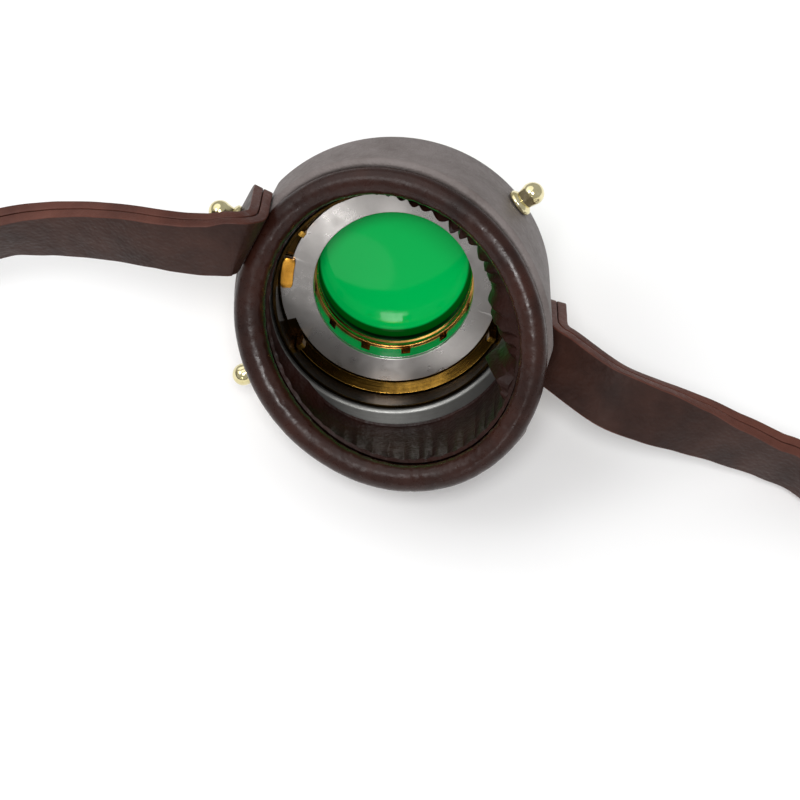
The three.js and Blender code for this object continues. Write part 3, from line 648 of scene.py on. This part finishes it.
def lining_outline(angle):
    """Gathered lining: from a hem on the housing, along the drum and in under the rim roll."""
    rim = rim_depth(angle)
    low = 0.25 - HOUSING_BACK
    round_place = Vector((math.cos(angle), math.sin(angle), 0))
    uneven = noise.noise(4 * round_place + Vector((0, 0, 2)))
    gather = abs(math.sin(GATHERS / 2 * angle + 2 * uneven)) * (0.75 + uneven)
    fold = noise.noise(9 * round_place + Vector((0, 0, 5)))
    covered = min(bell(angle, *COVERED_AT) * 2.2, 1)
    ruffle = min(bell(angle, *RUFFLE_AT) * 1.8, 1) + 0.55 * bell(angle, *RUFFLE_PEAK_AT)
    lobe = 6 * bell(angle, *LOBE_AT)
    hem = HEM_RADIUS - 3.3 * covered - 3.4 * ruffle
    tall = rim - low
    path = [
        (hem - 0.3 * lobe, low),
        (hem + 0.5 - 0.4 * lobe + 0.2 * fold - 0.6 * ruffle, low + 0.3),
        (32 - 0.6 * lobe + 0.3 * fold - covered - 4.8 * ruffle, low + 0.25 * tall),
        (32 + 0.5 * fold - 0.8 * lobe - 0.5 * gather - (5.6 + 0.9 * gather) * ruffle, low + 0.5 * tall),
        (31.9 + 0.3 * fold - 0.6 * lobe - 1.1 * gather - (5 + 0.6 * gather) * ruffle, low + 0.68 * tall),
        (31.2 - 0.4 * lobe - 1.3 * gather - (3.6 + 0.4 * gather) * ruffle, rim - 4.4),
        (29.6 - 0.9 * gather - 1.6 * ruffle, rim - 3.4),
        (28.2 - 0.4 * gather, rim - 2.1),
    ]
    inner = [(radius, max(depth, low)) for radius, depth in path]
    outer = [(radius + LINING_THICKNESS, depth + 0.06) for radius, depth in inner[1:-1]]
    outline = inner + [(28.7, max(rim - 1.8, low + 0.06))] + outer[::-1]
    return np.array([(radius, -depth) for radius, depth in outline])


lining = spun("gathered_lining", even_angles(GATHERS * 12), lining_outline)
finish_piece(lining, [LINING_LEATHER], "eye_cup", ["cup_lining"], weighted=False)

# Turned rings: name, node, body, material, slot, edge rounding and outline as (radius, y)
RINGS = [
    ("housing", "housing_ring", "eye_cup", ALUMINIUM, "housing_aluminium", 0.35,
     [(27.7, 2.3), (33.1, 2.3), (33.1, HOUSING_BACK), (28.3, HOUSING_BACK), (27.7, HOUSING_BACK + 0.6)]),
    ("throat", "throat_ring", "eye_cup", DARK_BRASS, "brass", FINE_EDGE,
     [(22.6, 2.3), (27.4, 2.3), (27.4, -8.1), (26.6, -8.1), (26.6, 1.1), (22.6, 1.1)]),
    ("flange", "front_flange", "eye_cup", BRASS, "brass", 0.4,
     [(24.6, FLANGE_BACK), (33, FLANGE_BACK), (33, 3.8), (32.4, FLANGE_FRONT), (24.6, FLANGE_FRONT)]),
    ("barrel", "lens_barrel", "lens_unit", BRASS, "brass", 0.25,
     [(20.6, 1.1), (22.2, 1.1), (22.2, FLANGE_BACK), (24.2, FLANGE_BACK), (24.2, FLANGE_FRONT),
      (22.2, FLANGE_FRONT), (22.2, BARREL_FRONT), (20.6, BARREL_FRONT)]),
]
for name, node, body, material, slot, radius, profile in RINGS:
    outline = rounded(profile, radius)
    ring = spun(name, even_angles(), lambda angle, outline=outline: outline)
    finish_piece(ring, [material], body, [node])

# The ring that holds the lens: bright brass towards the eye, dark metal on its bore next to the glass
RETAINER = [(INSERT_RADIUS, 6.3), (INSERT_RADIUS, 11.4), (17.9, 11.4), (17.9, 10), (17.9, 8.9), (18.4, 8.5),
            (18.4, 7.8), (17.9, 7.4), (17.9, 6.7), (18.15, 6.3)]
retainer_outline = rounded(RETAINER, INSERT_EDGE)
dark_rows = [int(r < 19 and y > 9.8) for r, y in retainer_outline]
retainer = spun("retainer", even_angles(), lambda angle: retainer_outline, row_slots=dark_rows)
finish_piece(retainer, [BRASS, DARK_METAL], "lens_unit", ["retaining_ring"])


# The bayonet


def plate_outline(angle):
    on_lug = any(between(angle, middle - LUG_HALF_SWEEP, middle + LUG_HALF_SWEEP) for middle in LUGS)
    outer = LUG_RADIUS if on_lug else PLATE_RADIUS
    front_edge = [(PLATE_BORE, PLATE_THICKNESS), (outer, PLATE_THICKNESS)]
    return rounded(front_edge + [(outer, 0), (PLATE_BORE, 0)], FINE_EDGE)


lug_edges = [middle + side * LUG_HALF_SWEEP for middle in LUGS for side in (-1, 1)]
plate = spun("plate", angles_with_steps(lug_edges), plate_outline)
finish_piece(plate, [STEEL], "lens_unit", ["bayonet_plate"])

for i, middle in enumerate(reversed(LUGS)):
    start = middle - LUG_HALF_SWEEP

    def leaf_outline(angle, start=start):
        share = (angle - start) / LEAF_SWEEP
        inset = LEAF_CORNER * (2 * abs(share - 0.5)) ** 8
        inner, outer = PLATE_RADIUS - 1 + inset, LUG_RADIUS - inset
        return rounded([(inner, -GAP), (outer, -GAP), (outer, LEAF_BACK), (inner, LEAF_BACK)], FINE_EDGE)

    leaf = spun(f"leaf_{i + 1}", np.linspace(start, start + LEAF_SWEEP, 40), leaf_outline, wrap=False)
    finish_piece(leaf, [GOLD_LEAF], "lens_unit", [f"lug_leaf_{i + 1}"])

for name, (start, end) in (("lower", LOWER_BAND), ("upper", UPPER_BAND)):
    first, last = start + EAR_WIDTH, end - EAR_WIDTH

    def band_outline(angle, first=first, last=last):
        inner_back, outer_back = BAND_BACKS if first <= angle <= last else (EAR_BACK, EAR_BACK)
        front = [(BAND_BORE, BAND_FRONT), (BAND_RADIUS, BAND_FRONT)]
        return rounded(front + [(BAND_RADIUS, outer_back), (BAND_BORE, inner_back)], FINE_EDGE)

    ears = [np.linspace(start, first - EAR_STEP, 5), np.linspace(last + EAR_STEP, end, 5)]
    band_angles = np.concatenate([ears[0], np.linspace(first, last, 90), ears[1]])
    band = spun(f"{name}_band", band_angles, band_outline, wrap=False)
    finish_piece(band, [BAND_BRASS_PAINTED_DARK], "eye_cup", [f"band_{name}"])


# The lens unit


def sleeve_outline(angle):
    pitch = TURN / NOTCH_COUNT
    offset = (angle - NOTCH_TURN + pitch / 2) % pitch - pitch / 2
    front = SLEEVE_FRONT - NOTCH_DEPTH if abs(offset) < NOTCH_HALF else SLEEVE_FRONT
    back_edge = [(PLATE_BORE, SLEEVE_BACK), (INSERT_RADIUS, SLEEVE_BACK)]
    return rounded(back_edge + [(INSERT_RADIUS, front), (PLATE_BORE, front)], INSERT_EDGE)


notch_edges = [
    NOTCH_TURN + i * TURN / NOTCH_COUNT + side * NOTCH_HALF for i in range(NOTCH_COUNT) for side in (-1, 1)
]
sleeve = spun("sleeve", angles_with_steps(notch_edges), sleeve_outline)
finish_piece(sleeve, [POLISHED_STEEL], "lens_unit", ["spacer_sleeve"])

lens_radii = np.linspace(0, 1, 25) * LENS_RADIUS
lens_rise = LENS_BULGE * (1 - (lens_radii / LENS_RADIUS) ** 2)
lens_outline = np.concatenate([
    np.stack([lens_radii, LENS_BACK + LENS_BULGE - lens_rise], axis=1),
    np.stack([lens_radii, LENS_FRONT + lens_rise], axis=1)[::-1],
])
lens = spun("lens_disc", even_angles(), lambda angle: lens_outline)
finish_piece(lens, [GREEN_GLASS], "lens_unit", ["lens"])


def bezel_outline(angle):
    """The front bezel, with flutes scooped out of its skirt."""
    pitch = TURN / FLUTE_COUNT
    offset = NOSE_RADIUS * ((angle + pitch / 2) % pitch - pitch / 2)
    skirt = min(NOSE_RADIUS, NOSE_RADIUS + 0.4 - math.sqrt(max(1 - offset**2, 0)))
    press = LENS_FRONT + LENS_BULGE + GAP
    return rounded(
        [
            (18.2, press),
            (INSERT_RADIUS, press),
            (INSERT_RADIUS, NOSE_SEAT),
            (22.5, NOSE_SEAT),
            (22.5, SKIRT_BACK),
            (skirt, SKIRT_BACK),
            (skirt, NOSE_SEAT - 0.4),
            (NOSE_RADIUS, NOSE_SEAT),
            (NOSE_RADIUS, NOSE_FRONT),
            (19.2, NOSE_FRONT),
            (18.2, NOSE_FRONT - 1),
        ],
        0.3,
    )


bezel = spun("bezel", even_angles(FLUTE_COUNT * 16), bezel_outline)
finish_piece(bezel, [BRASS], "lens_unit", ["front_bezel"])

# Nuts and screws

ball_turns = np.linspace(-0.4, math.pi / 2, 14)
ball = NUT_BALL * np.stack([np.cos(ball_turns), np.sin(ball_turns)], axis=1) + (0, NUT_HEIGHT - NUT_BALL)
nut_foot = rounded([(0, 0), (3.2, 0), (3.2, 0.9), (2.3, 1.6)], 0.25)[5:]
nut_outline = np.concatenate([[(0, 0)], nut_foot, ball])
for i, angle in enumerate((*WALL_STUDS, RIGHT_STUD, LEFT_STUD)):
    seat = (DRUM_RADIUS if angle in WALL_STUDS else TAB_RADIUS + STRAP_THICKNESS / 2) + GAP
    out = around(1.0, angle, 0.0)
    nut = lathed(f"nut_{i + 1}", nut_outline, around(seat, angle, STUD_Y), out, cup_points)
    finish_piece(nut, [POLISHED_BRASS], "eye_cup", [f"dome_nut_{i + 1}"])
    stud = frame["nodes"][f"stud_screw_{i + 1}"]
    stud.data.materials.clear()
    stud.data.materials.append(STEEL)

screw_seat = FLANGE_FRONT + GAP
screw_head = rounded(
    [(0, -1), (0.8, -1), (0.8, 0), (1.9, 0), (1.9, 0.6), (1.2, 1.1), (0.6, 1.1), (0.4, 0.6), (0, 0.6)], 0.2
)
for i in range(SCREW_COUNT):
    place = around(SCREW_CIRCLE, (i + 0.5) / SCREW_COUNT * TURN, screw_seat)
    screw = lathed(f"screw_{i + 1}", screw_head, place, (0, 1, 0), cup_points, sides=24)
    finish_piece(screw, [POLISHED_BRASS], "eye_cup", [f"flange_screw_{i + 1}"])


# The strap


def spline(points, places):
    """Places, in stations, on a smooth curve through points, and its directions there."""
    ends = 2 * points[0] - points[1], 2 * points[-1] - points[-2]
    padded = np.concatenate([ends[:1], points, ends[1:]])
    on_curve = []
    along = []
    for place in places:
        i = min(int(place), len(points) - 2)
        w = place - i
        p0, p1, p2, p3 = padded[i : i + 4]
        d0, d1, d2 = np.sqrt(np.linalg.norm(np.diff(padded[i : i + 4], axis=0), axis=1))
        t1 = ((p1 - p0) / d0 - (p2 - p0) / (d0 + d1) + (p2 - p1) / d1) * d1
        t2 = ((p2 - p1) / d1 - (p3 - p1) / (d1 + d2) + (p3 - p2) / d2) * d1
        c2 = 3 * (p2 - p1) - 2 * t1 - t2
        c3 = 2 * (p1 - p2) + t1 + t2
        on_curve.append(p1 + w * (t1 + w * (c2 + w * c3)))
        along.append(t1 + w * (2 * c2 + w * 3 * c3))
    return np.array(on_curve), unit(np.array(along))


def strap_stations(tab, route):
    """Stations along the drum wall, into the outward bend and on the free route, with width directions."""
    angle, end, bend, radius, full_turn, rise = tab
    on_drum = [around(TAB_RADIUS, angle, end), around(TAB_RADIUS, angle, STUD_Y)]
    for turn in np.linspace(0, full_turn, BEND_STATIONS):
        reach = TAB_RADIUS + radius * (1 - math.cos(turn))
        on_drum.append(around(reach, angle, bend - radius * math.sin(turn)))
    width = np.array((-math.sin(angle), 0, math.cos(angle)))
    width = cup_to_table(width * np.sign(width[2])) - cup_to_table(np.zeros(3))
    leans = np.radians([station[3] for station in route])
    route_ups = np.stack([0 * leans, np.sin(leans), np.cos(leans)], axis=1)
    ups = np.concatenate([route_ups[:1]] * len(on_drum) + [route_ups])
    for i, kept in enumerate(TWIST_KEPT):
        ups[i] = kept * width + (1 - kept) * ups[i]
    lift = np.linspace(rise, RISE_KEPT * rise, len(on_drum))[:, None] * width
    places = np.concatenate([cup_to_table(on_drum) + lift, [station[:3] for station in route]])
    return places, ups


def strap_section(half):
    """A strip of leather with cut edges, swollen so that only a thin seam is left between two layers."""
    thick = LAYER / 2 + LAYER_SWELL
    return rounded([(-half, -thick), (half, -thick), (half, thick), (-half, thick)], 0.3)


# Of a section's rows, the fifth of each half is a face and the rest belong to the edges
STRAP_ROWS = ([1] * 4 + [0] + [1] * 5) * 2


def half_width(from_end, corner):
    """Half the strap's width at distances from an end with rounded corners."""
    share = np.minimum(from_end / corner, 1)
    return STRAP_WIDTH / 2 - corner * (1 - np.sqrt(1 - (1 - share) ** 2))


def strap_layer(name, stations, outward_sign, offset, end=None, round_tip=False, count=320):
    """One leather layer, offset outwards from the strap's middle, with round corners on the drum."""
    places, ups = stations
    t = np.linspace(0, 1, count + 1) ** CROWDING * (end or len(places) - 1)
    path, along = spline(places, t)
    before = np.minimum(t.astype(int), len(places) - 2)
    share = (t - before)[:, None]
    eased = share**2 * (3 - 2 * share)
    up = ups[before] * (1 - eased) + ups[before + 1] * eased
    across = unit(up - np.sum(up * along, axis=1, keepdims=True) * along)
    halves = half_width(np.linalg.norm(path - path[0], axis=1), TAB_CORNER)
    if round_tip:
        tip = half_width(np.linalg.norm(path - path[-1], axis=1), STRAP_WIDTH / 2)
        halves = np.maximum(np.minimum(halves, tip), TIP_NARROWEST)
    sections = np.stack([strap_section(half) for half in halves], axis=1)
    sections[..., 1] = outward_sign * (sections[..., 1] + offset)
    return swept(name, path, across, sections, row_slots=STRAP_ROWS)


def prism(name, outline, low, high):
    """An upright prism over an outline of (x, y) points in table millimetres."""
    grid = [[(x, y, z) for z in (low, high)] for x, y in outline]
    return grid_object(name, table_points(grid), wrap_cols=False)


def stadium(length, width, count=8):
    """A slot's outline: straight sides and round ends."""
    turn = np.linspace(-math.pi / 2, math.pi / 2, count)
    cap = np.stack([(length - width) / 2 + width / 2 * np.cos(turn), width / 2 * np.sin(turn)], axis=1)
    return np.concatenate([cap, -cap])


def slot_cutter(i):
    """A cutter for one adjusting slot of the strap's tip."""
    middle = SLOT_START - SLOT_LENGTH / 2 + i * SLOT_PITCH
    outline = stadium(SLOT_LENGTH, SLOT_WIDTH)
    grid = [[(middle + x, TIP_Y + side, BACK_HEIGHT + z) for side in (-2, 2)] for x, z in outline]
    return grid_object(f"slot_{i}", table_points(grid), wrap_cols=False)


def stud_cutter(angle):
    """A cutter for the hole of a stud through a strap tab."""
    bore = np.array([(0, 34), (STUD_HOLE, 34), (STUD_HOLE, 50), (0, 50)])
    out = around(1.0, angle, 0.0)
    return lathed("stud_hole", bore, around(0.0, angle, STUD_Y), out, cup_points, sides=24)


inside = -(LAYER + GAP) / 2
left = strap_stations(LEFT_TAB, LEFT_ROUTE)
right = strap_stations(RIGHT_TAB, RIGHT_ROUTE)
left_inner = strap_layer("left_inner", left, 1, inside, round_tip=True)
carve(left_inner, [slot_cutter(i) for i in range(SLOT_COUNT)])
STRAPS = [
    (left_inner, "left_strap_inner", LEFT_STUD),
    (strap_layer("left_outer", left, 1, -inside, end=DOUBLE_STATIONS), "left_strap_outer", LEFT_STUD),
    (strap_layer("right_inner", right, -1, inside), "right_strap_inner", RIGHT_STUD),
    (strap_layer("right_outer", right, -1, -inside), "right_strap_outer", RIGHT_STUD),
]
for piece, node, stud_angle in STRAPS:
    carve(piece, [stud_cutter(stud_angle)])
    finish_piece(piece, [STRAP_FACE, STRAP_EDGE], "head_strap", [node], weighted=False)

# The closure at the back of the head

bar_place = np.array((BAR_X, BACK_Y, BACK_HEIGHT))
upright = np.array((0.0, 0.0, 1.0))


def flat_bar(width, thickness):
    """A bar's outline with well rounded corners."""
    x, y = width / 2, thickness / 2
    return rounded([(-x, -y), (x, -y), (x, y), (-x, y)], 0.35 * min(width, thickness))


def eye(name, low, high):
    """A ring round the buckle's bar."""
    bore = BAR_RADIUS + GAP
    outline = rounded([(bore, low), (BUCKLE_EYE, low), (BUCKLE_EYE, high), (bore, high)], 0.25)
    return lathed(name, outline, bar_place, upright, table_points)


# The strap's end, laid round the bar
fold_turn = np.linspace(FOLD_OPENING, TURN - FOLD_OPENING, 40)
fold_arc = (FOLD_RADIUS - FOLD_THICKNESS / 2) * np.stack([np.cos(fold_turn), np.sin(fold_turn)], axis=1)
fold_leg = np.array([(FOLD_TAIL + GAP, FOLD_LEG), (FOLD_TAIL / 2 + 1, FOLD_LEG)])
fold_path = np.concatenate([fold_leg, fold_arc, fold_leg[::-1] * (1, -1)])
fold_path = np.concatenate([fold_path, np.zeros((len(fold_path), 1))], axis=1) + bar_place
fold_section = constant(flat_bar(STRAP_WIDTH, FOLD_THICKNESS), len(fold_path))
fold = swept("fold", fold_path, np.tile(upright, (len(fold_path), 1)), fold_section)
notch_corners = (-6, -6), (FOLD_NOTCH_END, -6), (FOLD_NOTCH_END, 6), (-6, 6)
fold_notch = [(BAR_X + x, BACK_Y + y) for x, y in notch_corners]
carve(fold, [prism("fold_notch", fold_notch, BACK_HEIGHT - FOLD_NOTCH_HALF, BACK_HEIGHT + FOLD_NOTCH_HALF)])
finish_piece(fold, [STRAP_FACE], "head_strap", ["strap_fold"])


def along_tilt(tilt, distances, heights):
    """Points at distances from the bar in a tilted upright plane, and at heights from its middle."""
    reach = np.array((-math.cos(tilt), -math.sin(tilt), 0.0))
    return bar_place + np.outer(distances, reach) + np.outer(heights, upright)


# The buckle: an arm from the bar, a round corner, the rail and the same back again
arm_height = BUCKLE_HALF_HEIGHT - BUCKLE_ROD[1] / 2
rail = BUCKLE_LENGTH - RAIL_INSET
corner_turn = np.linspace(0, math.pi / 2, 8)
corner_reach = rail - BUCKLE_CORNER + BUCKLE_CORNER * np.sin(corner_turn)
corner_height = arm_height - BUCKLE_CORNER + BUCKLE_CORNER * np.cos(corner_turn)
upper = np.concatenate([[1.5, 6, 11], corner_reach])
heights = np.concatenate([[arm_height] * 3, corner_height])
distances = np.concatenate([upper, upper[::-1]])
frame_path = along_tilt(BUCKLE_TILT, distances, np.concatenate([heights, -heights[::-1]]))
frame_normal = np.tile((math.sin(BUCKLE_TILT), -math.cos(BUCKLE_TILT), 0.0), (len(frame_path), 1))
buckle = swept("buckle", frame_path, frame_normal, constant(flat_bar(*BUCKLE_ROD), len(frame_path)))
inner_height = BUCKLE_HALF_HEIGHT - BUCKLE_ROD[1]
eyes = eye("eye_low", -BUCKLE_HALF_HEIGHT, -inner_height), eye("eye_high", inner_height, BUCKLE_HALF_HEIGHT)
join([buckle, *eyes])
finish_piece(buckle, [BRASS], "head_strap", ["buckle_frame"])

tongue_places = np.array([1.9, 6, 11, 16, 18.3, 19.1, TONGUE_LENGTH])
tongue_path = along_tilt(TONGUE_TILT, tongue_places, np.zeros(len(tongue_places)))
tongue_sizes = np.array([1, 1, 1, 0.95, 0.85, 0.65, 0.35])
tongue_bar = constant(flat_bar(TONGUE_WIDTH, TONGUE_THICKNESS), len(tongue_path))
tongue_section = tongue_bar * tongue_sizes[None, :, None]
tongue = swept("tongue_finger", tongue_path, np.tile(upright, (len(tongue_path), 1)), tongue_section)
join([tongue, eye("tongue_eye", -TONGUE_WIDTH / 2, TONGUE_WIDTH / 2)])
finish_piece(tongue, [POLISHED_BRASS], "tongue", ["buckle_tongue"])

bar_low, bar_high = -BUCKLE_HALF_HEIGHT, BUCKLE_HALF_HEIGHT
bar_outline = rounded([(0, bar_low), (BAR_RADIUS, bar_low), (BAR_RADIUS, bar_high), (0, bar_high)], 0.3)
bar = lathed("bar", bar_outline, bar_place, upright, table_points, sides=32)
finish_piece(bar, [STEEL], "head_strap", ["buckle_bar"])

rivet_reach = STRAP_THICKNESS / 2 + GAP
rivet_top = rivet_reach + RIVET_HEAD
rivet_head = [(1, rivet_reach), (2.5, rivet_reach), (1.75, rivet_top), (0, rivet_top)]
rivet_outline = rounded([(radius, -height) for radius, height in reversed(rivet_head)] + rivet_head, 0.3)
rivet = lathed("rivet", rivet_outline, (RIVET_X, BACK_Y, BACK_HEIGHT), (0, 1, 0), table_points, sides=32)
finish_piece(rivet, [POLISHED_BRASS], "head_strap", ["strap_rivet"])

keeper_far = TIP_Y - LAYER / 2 - KEEPER_CLEARANCE - KEEPER_WALL / 2
keeper_near = BACK_Y + STRAP_THICKNESS / 2 + KEEPER_CLEARANCE + KEEPER_WALL / 2
keeper_half = STRAP_WIDTH / 2 + KEEPER_CLEARANCE + KEEPER_WALL / 2
keeper_low = [(keeper_far, -keeper_half), (keeper_near, -keeper_half)]
keeper_high = [(keeper_near, keeper_half), (keeper_far, keeper_half)]
loop = rounded(keeper_low + keeper_high, KEEPER_CORNER, steps=6)
keeper_path = np.stack([np.full(len(loop), KEEPER_X), loop[:, 0], BACK_HEIGHT + loop[:, 1]], axis=1)
keeper_across = np.tile((1.0, 0.0, 0.0), (len(loop), 1))
keeper_section = constant(flat_bar(KEEPER_WIDTH, KEEPER_WALL), len(loop))
keeper = swept("keeper_loop", keeper_path, keeper_across, keeper_section, wrap=True)
finish_piece(keeper, [STRAP_FACE], "keeper", ["strap_keeper"])

# Camera, floor and light

camera_data = bpy.data.cameras.new("camera")
camera_data.sensor_width = SENSOR
camera_data.lens = FOCAL_PIXELS / PICTURE_PIXELS * SENSOR
camera_data.clip_end = 20
camera = bpy.data.objects.new("camera", camera_data)
camera.location = PLATE + CAMERA_TURN @ CAMERA_PLACE
camera.rotation_euler = (CAMERA_TURN @ CAMERA_AIM).to_track_quat("-Z", "Y").to_euler()
bpy.context.collection.objects.link(camera)
bpy.context.scene.camera = camera

bpy.ops.mesh.primitive_plane_add(size=FLOOR_SIZE, location=(0, 0, 0))
floor = bpy.context.object
floor.name = "floor"
floor_material, floor_nodes, floor_links, floor_shader = new_material("floor_white")
floor_vector = mapped(floor_nodes, floor_links, "Object", (1, 1, 1))
floor_mottle = noise_texture(floor_nodes, floor_links, floor_vector, 3, detail=2)
floor_tone = ramp(floor_nodes, floor_links, floor_mottle, FLOOR_TONES)
floor_links.new(floor_tone, floor_shader.inputs["Base Color"])
floor_shader.inputs["Roughness"].default_value = 0.9
floor_shader.inputs["Specular IOR Level"].default_value = 0.1
floor.data.materials.append(floor_material)

world = bpy.data.worlds.new("studio")
bpy.context.scene.world = world
world.use_nodes = True
world.node_tree.nodes["Background"].inputs["Color"].default_value = (1, 1, 1, 1)
world.node_tree.nodes["Background"].inputs["Strength"].default_value = WORLD_STRENGTH


def area_light(name, place, size, power):
    """A round light, aimed at the plate."""
    data = bpy.data.lights.new(name, "AREA")
    data.shape = "DISK"
    data.size = size
    data.energy = power
    light = bpy.data.objects.new(name, data)
    light.location = place
    light.rotation_euler = (PLATE - Vector(place)).to_track_quat("-Z", "Y").to_euler()
    bpy.context.collection.objects.link(light)


area_light("front", (0, -0.8, 1.4), 0.5, 14)
area_light("soft", (-0.75, 0.45, 1.35), 2, 9)
area_light("key", (-0.95, -0.35, 1.3), 0.7, 4)
area_light("card", (-0.22, -1.7, 0.2), 0.36, 0.25)
area_light("streak", (-0.3, -1.44, 0.49), 0.2, 1.5)

bpy.context.scene.view_settings.view_transform = "Standard"
